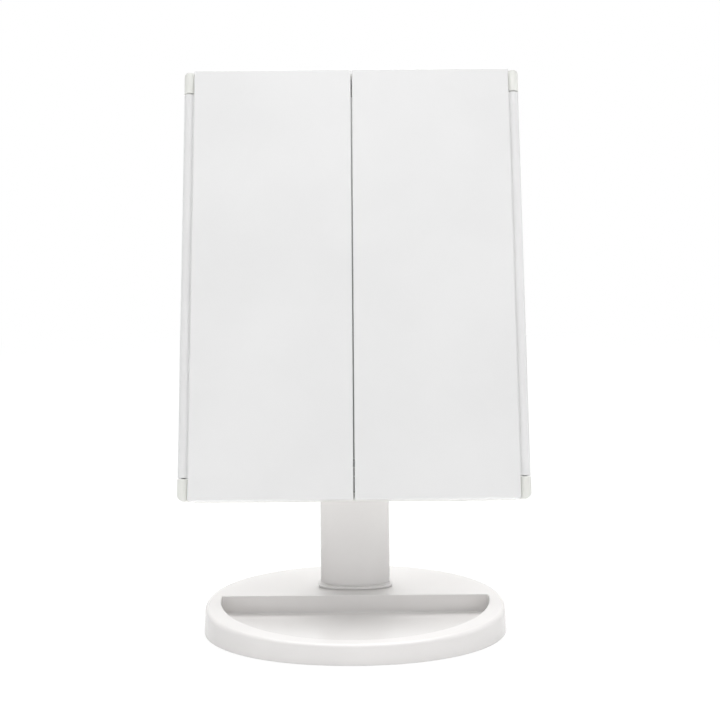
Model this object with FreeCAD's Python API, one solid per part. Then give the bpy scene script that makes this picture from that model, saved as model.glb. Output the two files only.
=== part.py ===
import FreeCAD, Part
import os
from math import cos, pi, sin

# Trifold vanity mirror on a weighted table base.
# Lengths in millimetres. The row frame has +X to the viewer's right, +Y away from the viewer and +Z up.
# The mirror head is built upright in its own frame: the origin is the middle of the closed wings' front
# bottom edge, +Y runs into the head's depth and +Z up along the panel. place_head() leans it back.

Vec = FreeCAD.Vector
X_AXIS = Vec(1, 0, 0)
Y_AXIS = Vec(0, 1, 0)
Z_AXIS = Vec(0, 0, 1)

# ---- Fits and clearances ----
moving_gap = 0.35            # between faces of bodies that move past each other
seat_gap = 0.15              # around a piece that drops into a recess
shaft_gap = 0.05             # radial, a shaft that turns in its bore
thread_gap = 0.02            # radial, a screw or pin held in its hole
seam_gap = 0.7               # between the free edges of the two closed wings

# ---- Mirror head: outline and wings ----
panel_width = 182.0          # over the two hinge rails
panel_height = 233.0
wing_thickness = 6.0
wing_gap = 0.4               # closed wing to the centre frame behind it
wing_cover_thickness = 1.7
wing_corner_radius = 1.0
wing_edge_chamfer = 0.4      # top and bottom edges of the cover
wing_bezel = 3.6             # frame shown round the wing mirrors, on the free, top and bottom edges
wing_bezel_hinge = 7.0
wing_crossbar = 3.0          # bar between the two magnifying mirrors
wing_lip = 0.6               # thickness of the lip that holds the glass
glass_overlap = 1.2          # how far the lip covers the glass
wing_glass_thickness = 1.8
wing_pad_width = 10.0
wing_pad_end_gap = 12.0      # mirror opening's edge to the end of a pad

# ---- Wing hinges ----
rail_radius = 2.85
rail_inset = 3.0             # wing edge to hinge axis, across the panel
rail_neck_thickness = 1.8    # web that joins the rail to the wing
rail_neck_lap = 2.0          # into the wing's frame
rail_end_round = 0.5
knuckle_radius = 3.0
knuckle_top = 11.6
knuckle_bottom = 11.4
knuckle_gap_top = 0.35
knuckle_gap_bottom = 0.6
knuckle_corner_top = 2.0     # outer corners, seen from the front
knuckle_corner_bottom = 4.0
knuckle_ear_lap = 2.0        # into the centre frame
hinge_pin_radius = 1.25
hinge_pin_reach = 11.0       # into the rail
hinge_pin_recess = 1.0       # below the knuckle's end

# ---- Centre panel ----
centre_side_inset = 5.0      # rail's outside to the centre panel's side
centre_corner_radius = 4.0
front_frame_depth = 3.8
housing_depth = 6.8
housing_wall = 2.0
housing_side_wall = 6.5      # side wall, behind the rail's groove
housing_back_round = 3.5
centre_bezel_side = 9.0
centre_bezel_end = 4.0
opening_corner_radius = 1.0
glass_setback = 0.2          # glass and light strips below the bezel's face
centre_glass_thickness = 1.8
light_strip_width = 9.0
light_window_width = 5.5
light_window_end = 16.0      # bottom edge to the first LED's bay
light_window_top_gap = 8.0   # below the top light strip
frame_floor = 1.4
tape_width = 12.0
tape_inset = 17.0            # glass edge to the middle of the outer strips
tape_end_gap = 12.0

# ---- Lighting and electronics ----
led_count = 8                # on each of the three boards
led_size = 2.8
led_height = 0.9
led_board_thickness = 1.0
led_board_width = 8.0
led_board_lap = 2.0          # past the end of the light window
led_board_end_gap = 2.0      # top board, to the side strips
control_board_width = 24.0
control_board_height = 48.0
control_board_thickness = 1.0
control_board_inset = 32.0   # from the centre panel's side
control_board_z = 3.6        # lower edge, above the head's bottom
control_board_gap = 0.6      # board to the housing's back wall, taken up by the standoffs
standoff_inset = 2.0
standoff_height = 3.0
standoff_low = 10.0          # above the board's lower edge
standoff_high = 5.0          # below its upper edge
chip_size = 6.0
chip_thickness = 1.2
chip_z = 20.0                # parts on the board, above its lower edge
connector_width = 16.0
connector_height = 4.0
connector_thickness = 2.4
connector_z = 36.0
coil_radius = 2.6
coil_thickness = 2.2
coil_x = 7.0
coil_z = 14.0
touch_pad_radius = 6.0
touch_pad_z = 17.0
usb_width = 7.6
usb_height = 2.8
usb_length = 5.2
usb_wall = 0.35
usb_tongue = 0.6
usb_tongue_width = 4.0
usb_tongue_setback = 1.0
usb_setback = 0.5            # mouth, above the head's bottom edge
usb_corner_radius = 0.3
switch_inset = 32.0          # from the centre panel's side, on the viewer's left
switch_z = 42.0
switch_body_width = 13.0
switch_body_height = 7.0
switch_body_depth = 3.4
switch_travel = 3.0
switch_knob_width = 4.0
switch_knob_height = 3.2
switch_knob_proud = 1.3
switch_foot_depth = 1.4
switch_foot_lip = 1.0        # foot wider than the knob, each side
switch_face_gap = 0.3        # foot to the housing wall
switch_grip_width = 0.6
switch_grip_depth = 0.5
switch_grip_pitch = 1.2

# ---- Battery bay in the hump on the back ----
hump_proud = 12.0
hump_side_wall = 4.5         # beside the battery door
hump_bottom = 6.0
hump_round = 3.0
hump_corner_radius = 5.0
hump_wall = 2.0
hump_crown = 6.4             # above the battery bay's end wall
cell_radius = 7.25
cell_length = 50.5
cell_nub_radius = 2.75
cell_nub_length = 1.2
cell_pitch = 15.0
cell_count = 4
cell_clearance = 0.45
cell_edge_round = 0.6
contact_thickness = 0.5
contact_height = 9.0
contact_width = 12.0
spring_wire_radius = 0.4
spring_length = 4.0
spring_turns = 8
spring_large_radius = 3.8
spring_small_radius = 2.2
bay_side_gap = 1.65
bay_wall = 1.6
bay_floor = 1.5
bay_slot_gap = 3.65          # hollow between the post's slot and the bay
bay_end_ledge = 3.6          # the door laps the bay's lower end by this much
door_thickness = 1.8
door_tongue = 0.9
door_tongue_thickness = 0.7
door_side_lap = 2.1          # door wider than the bay, each side
door_rail_depth = 2.0        # housing under the door's edges
door_ridges = 4
door_ridge_radius = 0.6
door_ridge_width = 18.0
door_ridge_pitch = 3.0
door_ridge_start = 6.0

# ---- Tilt hinge ----
head_tilt = 18.0             # degrees back from upright, as the mirror stands at rest
pivot_depth = 21.0           # in the head's frame, behind the wings' front face
pivot_height = 50.0          # in the head's frame, above the bottom edge
barrel_radius = 7.5
axle_radius = 2.5
bush_radius = 4.5
washer_radius = 7.0
washer_thickness = 0.9
lug_boss_radius = 6.5
lug_boss_length = 9.8
slot_wall = 2.5
slot_floor_wall = 1.6
axle_head_radius = 4.5
axle_head_thickness = 3.2
nut_thickness = 4.0

# ---- Base ----
base_half_width = 78.2
base_half_depth = 58.0
base_fullness = 2.1          # 2 would be an ellipse
base_outline_points = 36
base_draft = 1.0             # how much narrower the wall is at its top
base_front_height = 10.2
base_back_height = 17.7
base_wall = 2.4
base_edge_round = 2.2
base_skirt_gap = 0.2         # ground to the shell's lower edge
base_ground_gap = 0.8        # the feet stand proud of the bottom plate by this much
bottom_plate_thickness = 1.6
tray_side_rim = 8.2          # base's foot outline to the tray, at the sides
tray_front_rim = 7.9
tray_back_y = 9.0
tray_centre_y = 5.7          # of the oval at the tray's sides and front
tray_floor_z = 4.85
tray_floor_wall = 1.8
tray_corner_radius = 1.3
tray_floor_round = 0.9
tray_edge_round = 0.7
plate_screw_count = 6
plate_screw_inset = (7.0, 5.0)    # from the base's foot outline, across and along
plate_boss_radius = 3.0
foot_radius = 6.0
foot_height = 1.3
foot_edge_round = 0.3
foot_front_inset = (33.2, 25.0)   # from the base's outline, across and along
foot_rear_inset = (40.2, 18.0)
weight_thickness = 7.0
weight_margin = 5.0          # inside the base wall
weight_rib_x = 36.0
weight_rib_thickness = 1.6
weight_rib_inset = 17.4      # base's back to the ribs' end
weight_front_gap = 1.0
weight_boss_gap = 0.5

# ---- Post ----
post_y = 27.0
pivot_z = 111.0
post_foot_half_width = 18.7
post_foot_half_depth = 8.3
post_top_half_width = 18.0
post_top_half_depth = 7.4
post_wall = 2.2
post_floor = 3.0
post_flange_lip = 1.0
post_flange_lip_front = 2.4
post_flange_lip_back = 0.9
post_flange_side = 5.0       # straight part at each side
post_flange_thickness = 1.5
post_flange_round = 0.5
post_reveal_height = 0.5     # shadow gap under the flange
post_reveal_depth = 0.8
post_seat_z = 12.0           # flat seats for the foot screws, under the base's top wall
foot_screw_x = 9.0
foot_screw_offset = 3.7
foot_screw_length = 12.0
foot_boss_radius = 2.5
foot_boss_top = 26.0
foot_seat_wall = 1.2         # round each foot screw's head
shell_screw_heights = (46.0, 88.0)
shell_boss_radius = 3.2
shell_screw_seat_depth = 2.0

# ---- Screws ----
screw_shank_radius = 1.1
screw_head_radius = 2.3
screw_head_height = 1.1
screw_slot_width = 0.6
screw_hole_radius = 1.35     # clearance hole
housing_screw_length = 5.0
shell_screw_length = 8.0
plate_screw_length = 4.4
plate_screw_shank_radius = 0.9
plate_screw_head_radius = 1.8
plate_screw_hole_radius = 1.1
frame_boss_radius = 3.2
housing_screw_x = 1.5        # outside the middle of the light strip
housing_screw_z = 12.0       # from the head's top and bottom
housing_screw_middle_x = 8.0    # inside the centre mirror's edge
housing_screw_sink = 0.1     # heads below the housing's back
plate_screw_proud = 0.1      # heads below the bottom plate
pilot_end_gap = 0.4          # hole past the screw's tip

# ---- Derived sizes ----
hinge_x = panel_width / 2 - knuckle_radius
centre_half_width = panel_width / 2 - centre_side_inset
hinge_y = wing_thickness + wing_gap / 2
wing_outer_x = hinge_x - rail_inset
groove_radius = knuckle_radius + moving_gap
rail_bottom = knuckle_bottom + knuckle_gap_bottom
rail_top = panel_height - knuckle_top - knuckle_gap_top
wing_lip_y = wing_thickness - wing_lip
wing_glass_y = wing_lip_y - wing_glass_thickness

frame_front_y = wing_thickness + wing_gap
frame_back_y = frame_front_y + front_frame_depth
frame_floor_y = frame_back_y - frame_floor
housing_back_y = frame_back_y + housing_depth
housing_inner_y = housing_back_y - housing_wall
hump_back_y = housing_back_y + hump_proud
opening_half_x = centre_half_width - centre_bezel_side
opening_bottom = centre_bezel_end
opening_top = panel_height - centre_bezel_end
glass_half_x = opening_half_x - light_strip_width
glass_top = opening_top - light_strip_width
glass_front_y = frame_front_y + glass_setback
glass_back_y = glass_front_y + centre_glass_thickness
strip_middle_x = opening_half_x - light_strip_width / 2
strip_middle_z = opening_top - light_strip_width / 2
cavity_half_x = centre_half_width - housing_side_wall
tape_x = glass_half_x - tape_inset
control_board_x = centre_half_width - control_board_inset
switch_x = centre_half_width - switch_inset
side_window_top = glass_top - light_window_top_gap
housing_screw_seat_y = housing_back_y - screw_head_height - housing_screw_sink
control_board_back_y = housing_inner_y - control_board_gap
control_board_front_y = control_board_back_y - control_board_thickness
usb_front_y = control_board_front_y - usb_height

slot_half_x = post_top_half_width + washer_thickness + moving_gap
slot_front_y = pivot_depth - post_foot_half_depth - moving_gap
slot_top = pivot_height + post_foot_half_depth + moving_gap
lug_end_x = slot_half_x + lug_boss_length

bay_bottom = slot_top + slot_wall + bay_slot_gap + bay_wall + bay_end_ledge
bay_half_x = cell_pitch * (cell_count - 1) / 2 + cell_radius + bay_side_gap
bay_length = cell_length + spring_length + 2 * contact_thickness
bay_top = bay_bottom + bay_length
hump_top = bay_top + bay_wall + hump_crown
door_inner_y = hump_back_y - door_thickness
cell_y = door_inner_y - cell_clearance - cell_radius
bay_front_y = cell_y - cell_radius - seat_gap
door_half_x = bay_half_x + door_side_lap
hump_half_width = door_half_x + hump_side_wall
door_bottom = bay_bottom - bay_end_ledge

base_slope = (base_back_height - base_front_height) / (2 * base_half_depth)
tray_half_width = base_half_width - tray_side_rim
tray_half_depth = base_half_depth - tray_front_rim + tray_centre_y
plate_top_z = base_ground_gap + bottom_plate_thickness
plate_screw_seat_z = base_ground_gap + screw_head_height - plate_screw_proud
shell_screw_seat_y = post_y + post_top_half_depth - shell_screw_seat_depth
cavity_half_width = base_half_width - base_wall
cavity_half_depth = base_half_depth - base_wall


# ---- Shape helpers ----
def block(x0, x1, y0, y1, z0, z1):
    return Part.makeBox(x1 - x0, y1 - y0, z1 - z0, Vec(x0, y0, z0))


def rod_x(y, z, radius, x0, x1):
    return Part.makeCylinder(radius, x1 - x0, Vec(x0, y, z), X_AXIS)


def rod_y(x, z, radius, y0, y1):
    return Part.makeCylinder(radius, y1 - y0, Vec(x, y0, z), Y_AXIS)


def rod_z(x, y, radius, z0, z1):
    return Part.makeCylinder(radius, z1 - z0, Vec(x, y, z0), Z_AXIS)


def oval_wire(half_x, half_y, centre_y, z):
    return Part.Wire([Part.Ellipse(Vec(0, centre_y, z), half_x, half_y).toShape()])


def oval_prism(half_x, half_y, centre_y, z0, z1):
    face = Part.Face(oval_wire(half_x, half_y, centre_y, z0))
    return face.extrude(Vec(0, 0, z1 - z0))


def flat_oval_prism(half_x, front, back, front_y, back_y, z0, z1):
    """Two half ovals, centred on front_y and back_y, with short straight sides between them."""
    reach = 2 * half_x
    front_half = oval_prism(half_x, front, front_y, z0, z1).common(
        block(-reach, reach, front_y - reach, front_y, z0, z1))
    back_half = oval_prism(half_x, back, back_y, z0, z1).common(
        block(-reach, reach, back_y, back_y + reach, z0, z1))
    return union([front_half, block(-half_x, half_x, front_y, back_y, z0, z1), back_half])


def oval_loft(lower, upper, centre_y, z0, z1):
    wires = [oval_wire(lower[0], lower[1], centre_y, z0), oval_wire(upper[0], upper[1], centre_y, z1)]
    return Part.makeLoft(wires, True, True)


def hexagon_prism(y, z, across_corners, x0, x1):
    corners = [Vec(x0, y + across_corners * cos(k * pi / 3), z + across_corners * sin(k * pi / 3))
               for k in range(7)]
    return Part.Face(Part.makePolygon(corners)).extrude(Vec(x1 - x0, 0, 0))


def union(shapes):
    return shapes[0].fuse(shapes[1:]).removeSplitter()


def spans(edge, axis):
    box = edge.BoundBox
    return {"x": box.XLength, "y": box.YLength, "z": box.ZLength}[axis]


def edges_along(shape, axis):
    others = [name for name in "xyz" if name != axis]
    return [edge for edge in shape.Edges
            if spans(edge, axis) > 0.01 and all(spans(edge, name) < 0.001 for name in others)]


def edges_at(shape, axis, value):
    index = "xyz".index(axis)
    return [edge for edge in shape.Edges
            if spans(edge, axis) < 0.001 and abs(edge.CenterOfMass[index] - value) < 0.01]


def slab(x0, x1, y0, y1, z0, z1, corner):
    """A plate in the XZ plane with its four corners rounded."""
    plate = block(x0, x1, y0, y1, z0, z1)
    return plate.makeFillet(corner, edges_along(plate, "y"))


def sided(shape, side):
    """The right-hand piece as it is, or its mirror image for the left."""
    return shape if side > 0 else shape.mirror(Vec(0, 0, 0), X_AXIS)


def screw(seat, direction, length, shank_radius=screw_shank_radius, head_radius=screw_head_radius):
    """A pan-head screw with a cross slot. Its head bears on seat and its shank runs along direction."""
    head = Part.makeCylinder(head_radius, screw_head_height, Vec(0, 0, -screw_head_height))
    head = head.makeFillet(0.4 * screw_head_height, edges_at(head, "z", -screw_head_height))
    shank = Part.makeCylinder(shank_radius, length)
    reach = 0.65 * head_radius
    half = screw_slot_width / 2
    depth = -0.45 * screw_head_height
    slots = [block(-reach, reach, -half, half, -2 * screw_head_height, depth),
             block(-half, half, -reach, reach, -2 * screw_head_height, depth)]
    shape = union([head, shank]).cut(slots)
    shape.Placement = FreeCAD.Placement(seat, FreeCAD.Rotation(Z_AXIS, direction))
    return shape


def group(shapes):
    return Part.makeCompound(shapes)


# ---- Base ----
def base_top_z(y):
    return base_front_height + base_slope * (y + base_half_depth)


def under_base_top(offset):
    """Everything under the base's sloping top face, moved up by offset."""
    near = -2 * base_half_depth
    far = 2 * base_half_depth
    side = 2 * base_half_width
    corners = [Vec(-side, near, near), Vec(-side, far, near), Vec(-side, far, base_top_z(far) + offset),
               Vec(-side, near, base_top_z(near) + offset), Vec(-side, near, near)]
    return Part.Face(Part.makePolygon(corners)).extrude(Vec(2 * side, 0, 0))


def base_outline(half_x, half_y, z):
    """The base's oval, a little fuller than an ellipse."""
    points = []
    for k in range(base_outline_points):
        angle = 2 * pi * k / base_outline_points
        across, along = cos(angle), sin(angle)
        reach = (abs(across) ** base_fullness + abs(along) ** base_fullness) ** (-1 / base_fullness)
        points.append(Vec(half_x * across * reach, half_y * along * reach, z))
    curve = Part.BSplineCurve()
    curve.interpolate(points, PeriodicFlag=True)
    return Part.Wire([curve.toShape()])


def on_base_top(edge):
    return all(abs(vertex.Z - base_top_z(vertex.Y)) < 0.01 for vertex in edge.Vertexes) and \
        abs(edge.CenterOfMass.z - base_top_z(edge.CenterOfMass.y)) < 0.01


def tray_tool():
    """The D-shaped hollow of the tray: straight at the back, an oval sweep at the sides and front."""
    tool = oval_prism(tray_half_width, tray_half_depth, tray_centre_y, tray_floor_z, 2 * base_back_height)
    behind = block(-base_half_width, base_half_width, tray_back_y, base_half_depth, 0, 3 * base_back_height)
    tool = tool.cut(behind)
    tool = tool.makeFillet(tray_corner_radius, edges_along(tool, "z")[:2])
    return tool.makeFillet(tray_floor_round, edges_at(tool, "z", tray_floor_z))


def tray_walls():
    outer = oval_prism(tray_half_width + base_wall, tray_half_depth + base_wall, tray_centre_y,
                       tray_floor_z - tray_floor_wall, 2 * base_back_height)
    behind = block(-base_half_width, base_half_width, tray_back_y + base_wall, base_half_depth,
                   0, 3 * base_back_height)
    return outer.cut(behind)


def plate_screw_points():
    half_x = base_half_width - plate_screw_inset[0]
    half_y = base_half_depth - plate_screw_inset[1]
    angles = [pi / 6 + 2 * pi * k / plate_screw_count for k in range(plate_screw_count)]
    return [(half_x * cos(angle), half_y * sin(angle)) for angle in angles]


def foot_screw_points():
    return [(x, post_y + y) for x in (-foot_screw_x, foot_screw_x)
            for y in (-foot_screw_offset, foot_screw_offset)]


def make_base_shell():
    solid_top = 2 * base_back_height
    share = (solid_top - base_skirt_gap) / base_back_height
    top_half_width = base_half_width - base_draft * share
    top_half_depth = base_half_depth - base_draft * share
    solid = Part.makeLoft([base_outline(base_half_width, base_half_depth, base_skirt_gap),
                           base_outline(top_half_width, top_half_depth, solid_top)], True, True)
    solid = solid.common(under_base_top(0))
    solid = solid.makeFillet(base_edge_round, [edge for edge in solid.Edges if on_base_top(edge)])

    cavity = oval_prism(cavity_half_width, cavity_half_depth, 0, 0, solid_top)
    cavity = cavity.common(under_base_top(-base_wall)).cut(tray_walls())
    bosses = [rod_z(x, y, plate_boss_radius, plate_top_z, solid_top) for x, y in plate_screw_points()]
    bosses += [rod_z(x, y, screw_head_radius + foot_seat_wall, post_seat_z, solid_top)
               for x, y in foot_screw_points()]
    ribs = [block(x - weight_rib_thickness / 2, x + weight_rib_thickness / 2, tray_back_y + base_wall,
                  base_half_depth - weight_rib_inset, plate_top_z + weight_thickness, solid_top)
            for x in (-weight_rib_x, weight_rib_x)]
    shell = solid.cut(cavity.cut(bosses + ribs))

    shell = shell.cut(tray_tool())
    rim = [edge for edge in shell.Edges
           if on_base_top(edge) and edge.BoundBox.YMax < tray_back_y + 0.1 and
           max(abs(edge.BoundBox.XMin), abs(edge.BoundBox.XMax)) < tray_half_width + 0.1]
    shell = shell.makeFillet(tray_edge_round, rim)

    pilot_top = plate_screw_seat_z + plate_screw_length + pilot_end_gap
    holes = [rod_z(x, y, plate_screw_shank_radius + thread_gap, 0, pilot_top)
             for x, y in plate_screw_points()]
    holes += [rod_z(x, y, screw_hole_radius, 0, solid_top) for x, y in foot_screw_points()]
    return shell.cut(holes)


def make_bottom_plate():
    plate = oval_prism(cavity_half_width - seat_gap, cavity_half_depth - seat_gap, 0,
                       base_ground_gap, plate_top_z)
    cuts = [rod_z(x, y, plate_screw_hole_radius, 0, plate_top_z + 1) for x, y in plate_screw_points()]
    cuts += [rod_z(x, y, plate_screw_head_radius + seat_gap, 0, plate_screw_seat_z)
             for x, y in plate_screw_points()]
    cuts += [rod_z(x, y, foot_radius + seat_gap, 0, foot_height) for x, y in foot_points().values()]
    return plate.cut(cuts)


def make_base_weight():
    plate = oval_prism(cavity_half_width - weight_margin, cavity_half_depth - weight_margin, 0,
                       plate_top_z, plate_top_z + weight_thickness)
    front = tray_back_y + base_wall + weight_front_gap
    plate = plate.cut(block(-base_half_width, base_half_width, -base_half_depth, front, 0, base_back_height))
    reliefs = [rod_z(x, y, plate_boss_radius + weight_boss_gap, 0, base_back_height)
               for x, y in plate_screw_points()]
    return plate.cut(reliefs)


def foot_points():
    points = {}
    for row, along, inset in (("front_", -1, foot_front_inset), ("rear_", 1, foot_rear_inset)):
        for name, side in (("left", -1), ("right", 1)):
            points["base_foot_" + row + name] = (side * (base_half_width - inset[0]),
                                                 along * (base_half_depth - inset[1]))
    return points


def make_foot(x, y):
    foot = rod_z(x, y, foot_radius, 0, foot_height)
    return foot.makeFillet(foot_edge_round, edges_at(foot, "z", 0))


def build_base():
    nodes = {"base_shell": make_base_shell(), "base_bottom_plate": make_bottom_plate(),
             "base_weight": make_base_weight()}
    for name, (x, y) in foot_points().items():
        nodes[name] = make_foot(x, y)
    screws = [screw(Vec(x, y, plate_screw_seat_z), Z_AXIS, plate_screw_length, plate_screw_shank_radius,
                    plate_screw_head_radius) for x, y in plate_screw_points()]
    nodes["base_plate_screws"] = group(screws)
    return nodes


# ---- Post ----
def post_solid(inset, z0, z1):
    """The post's oval column between two heights, its walls moved in by inset."""
    share0 = z0 / pivot_z
    share1 = z1 / pivot_z
    sizes = [(post_foot_half_width + share * (post_top_half_width - post_foot_half_width) - inset,
              post_foot_half_depth + share * (post_top_half_depth - post_foot_half_depth) - inset)
             for share in (share0, share1)]
    return oval_loft(sizes[0], sizes[1], post_y, z0, z1)


def flange_outline(inset):
    half_x = post_foot_half_width + post_flange_lip - inset
    front = post_foot_half_depth + post_flange_lip_front - post_flange_side - inset
    back = post_foot_half_depth + post_flange_lip_back - inset
    return flat_oval_prism(half_x, front, back, post_y - post_flange_side, post_y, 0, 3 * base_back_height)


def post_flange():
    """The lip round the post's foot, with a shadow gap between it and the base."""
    flange = flange_outline(0).common(under_base_top(post_flange_thickness))
    top = post_flange_thickness
    rim = [edge for edge in flange.Edges if abs(edge.CenterOfMass.z - base_top_z(post_y) - top) < 1.0]
    flange = flange.makeFillet(post_flange_round, rim).cut(under_base_top(post_reveal_height))
    core = flange_outline(post_reveal_depth).common(under_base_top(post_flange_thickness / 2))
    return union([flange, core.cut(under_base_top(0))])


def make_post_body():
    column = post_solid(0, 0, pivot_z).cut(under_base_top(0))
    barrel = rod_x(post_y, pivot_z, barrel_radius, -post_top_half_width, post_top_half_width)
    outer = union([column, post_flange(), barrel])

    hollow_top = pivot_z - barrel_radius - post_wall
    hollow = post_solid(post_wall, base_top_z(post_y) + post_floor, hollow_top)
    bosses = [rod_z(x, y, foot_boss_radius, 0, foot_boss_top) for x, y in foot_screw_points()]
    bosses += [rod_y(0, z, shell_boss_radius, post_y - post_foot_half_depth, post_y + post_foot_half_depth)
               for z in shell_screw_heights]
    body = outer.cut(hollow.cut(bosses))

    cuts = [rod_z(x, y, screw_shank_radius + thread_gap, 0, post_seat_z + foot_screw_length + pilot_end_gap)
            for x, y in foot_screw_points()]
    reach = 2 * post_top_half_width
    cuts.append(rod_x(post_y, pivot_z, bush_radius + thread_gap, -reach, reach))
    cuts.append(rod_x(post_y, pivot_z, washer_radius + seat_gap, post_top_half_width, reach))
    cuts.append(rod_x(post_y, pivot_z, washer_radius + seat_gap, -reach, -post_top_half_width))
    return body.cut(cuts)


def build_post():
    body = make_post_body()
    reach = 3 * post_foot_half_width
    split = post_y
    front_half = block(-reach, reach, split - reach, split, -1, 2 * pivot_z)
    rear_half = block(-reach, reach, split, split + reach, -1, 2 * pivot_z)
    front = body.common(front_half)
    rear = body.common(rear_half)
    seat_y = shell_screw_seat_y
    tip_y = seat_y - shell_screw_length
    for z in shell_screw_heights:
        front = front.cut(rod_y(0, z, screw_shank_radius + thread_gap, tip_y - pilot_end_gap, split))
        rear = rear.cut([rod_y(0, z, screw_hole_radius, split - 1, split + reach),
                         rod_y(0, z, screw_head_radius + seat_gap, seat_y, split + reach)])
    nodes = {"post_front_shell": front, "post_rear_shell": rear}
    nodes["post_shell_screws"] = group([screw(Vec(0, seat_y, z), Vec(0, -1, 0), shell_screw_length)
                                        for z in shell_screw_heights])
    nodes["post_foot_screws"] = group([screw(Vec(x, y, post_seat_z), Z_AXIS, foot_screw_length)
                                       for x, y in foot_screw_points()])
    nodes["tilt_bush"] = rod_x(post_y, pivot_z, bush_radius, -post_top_half_width, post_top_half_width).cut(
        rod_x(post_y, pivot_z, axle_radius + shaft_gap, -reach, reach))
    for name, x0 in (("tilt_washer_left", -post_top_half_width - washer_thickness),
                     ("tilt_washer_right", post_top_half_width)):
        washer = rod_x(post_y, pivot_z, washer_radius, x0, x0 + washer_thickness)
        nodes[name] = washer.cut(rod_x(post_y, pivot_z, axle_radius + shaft_gap, -reach, reach))
    return nodes


# ---- Wing hinges ----
def hinge_cylinder(radius, z0, z1):
    return rod_z(hinge_x, hinge_y, radius, z0, z1)


def knuckle(z0, z1, corner):
    """A barrel of the hinge with the ear that joins it to the frame, its outer corner rounded."""
    back_y = hinge_y + knuckle_radius
    barrel = hinge_cylinder(knuckle_radius, z0, z1)
    ear = block(centre_half_width - knuckle_ear_lap, hinge_x, frame_front_y, back_y, z0, z1)
    outline = slab(-panel_width / 2, panel_width / 2, 0, back_y, 0, panel_height, corner)
    return union([barrel, ear]).common(outline)


def make_rail():
    rail = hinge_cylinder(rail_radius, rail_bottom, rail_top)
    return rail.makeFillet(rail_end_round, edges_at(rail, "z", rail_bottom) + edges_at(rail, "z", rail_top))


def make_hinge_pin(upper):
    if upper:
        return hinge_cylinder(hinge_pin_radius, rail_top - hinge_pin_reach, panel_height - hinge_pin_recess)
    return hinge_cylinder(hinge_pin_radius, hinge_pin_recess, rail_bottom + hinge_pin_reach)


# ---- Wings ----
def knuckle_pockets():
    """Room in the wing's plate for the centre frame's knuckles."""
    return [hinge_cylinder(groove_radius, -1, rail_bottom),
            hinge_cylinder(groove_radius, rail_top, panel_height + 1)]


def wing_openings(magnifying):
    """Low and high edges of each mirror opening in a wing: one for plain glass, two for magnifying."""
    low = wing_bezel
    high = panel_height - wing_bezel
    if not magnifying:
        return [(low, high)]
    middle = (low + high) / 2
    return [(low, middle - wing_crossbar / 2), (middle + wing_crossbar / 2, high)]


def wing_opening_x():
    return seam_gap / 2 + wing_bezel, wing_outer_x - wing_bezel_hinge


def make_wing_cover():
    cover = slab(seam_gap / 2, wing_outer_x, 0, wing_cover_thickness, 0, panel_height, wing_corner_radius)
    front = edges_at(cover, "y", 0)
    ends = [edge for edge in front if spans(edge, "x") > 2 * wing_corner_radius]
    cover = cover.makeChamfer(wing_edge_chamfer, ends)
    return cover.cut([hinge_cylinder(rail_radius, rail_bottom, rail_top)] + knuckle_pockets())


def make_wing_frame(magnifying):
    frame = slab(seam_gap / 2, wing_outer_x, wing_cover_thickness, wing_thickness, 0, panel_height,
                 wing_corner_radius)
    x0, x1 = wing_opening_x()
    cuts = []
    for low, high in wing_openings(magnifying):
        cuts.append(slab(x0, x1, 0, wing_thickness + 1, low, high, wing_corner_radius))
        cuts.append(block(x0 - glass_overlap - seat_gap, x1 + glass_overlap + seat_gap, 0, wing_lip_y,
                          low - glass_overlap - seat_gap, high + glass_overlap + seat_gap))
    frame = frame.cut(cuts)
    neck = block(wing_outer_x - rail_neck_lap, hinge_x, wing_thickness - rail_neck_thickness, wing_thickness,
                 rail_bottom, rail_top)
    frame = union([frame, neck, make_rail()])
    bores = [hinge_cylinder(hinge_pin_radius + shaft_gap, rail_bottom - 1, rail_bottom + hinge_pin_reach + 1),
             hinge_cylinder(hinge_pin_radius + shaft_gap, rail_top - hinge_pin_reach - 1, rail_top + 1)]
    return frame.cut(knuckle_pockets() + bores)


def make_wing_glass(low, high):
    x0, x1 = wing_opening_x()
    return block(x0 - glass_overlap, x1 + glass_overlap, wing_glass_y, wing_lip_y,
                 low - glass_overlap, high + glass_overlap)


def make_wing_pads(magnifying):
    """Foam strips between the cover and the back of the glass."""
    x0, x1 = wing_opening_x()
    strips = []
    for low, high in wing_openings(magnifying):
        for share in (0.25, 0.75):
            x = x0 + share * (x1 - x0)
            strips.append(block(x - wing_pad_width / 2, x + wing_pad_width / 2, wing_cover_thickness,
                                wing_glass_y, low + wing_pad_end_gap, high - wing_pad_end_gap))
    return group(strips)


def build_wing(name, side, magnifying):
    nodes = {name + "_wing_cover": make_wing_cover(), name + "_wing_frame": make_wing_frame(magnifying),
             name + "_wing_pads": make_wing_pads(magnifying)}
    glass_names = ["left_mirror_lower", "left_mirror_upper"] if magnifying else ["right_mirror"]
    for glass_name, (low, high) in zip(glass_names, wing_openings(magnifying)):
        nodes[glass_name] = make_wing_glass(low, high)
    return {node: sided(shape, side) for node, shape in nodes.items()}


# ---- Centre panel ----
def housing_screw_points():
    edge_x = strip_middle_x + housing_screw_x
    low = housing_screw_z
    high = panel_height - housing_screw_z
    middle_x = glass_half_x - housing_screw_middle_x
    return [(x * side, z) for side in (-1, 1)
            for x, z in ((edge_x, low), (edge_x, high), (middle_x, panel_height / 2))]


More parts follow.
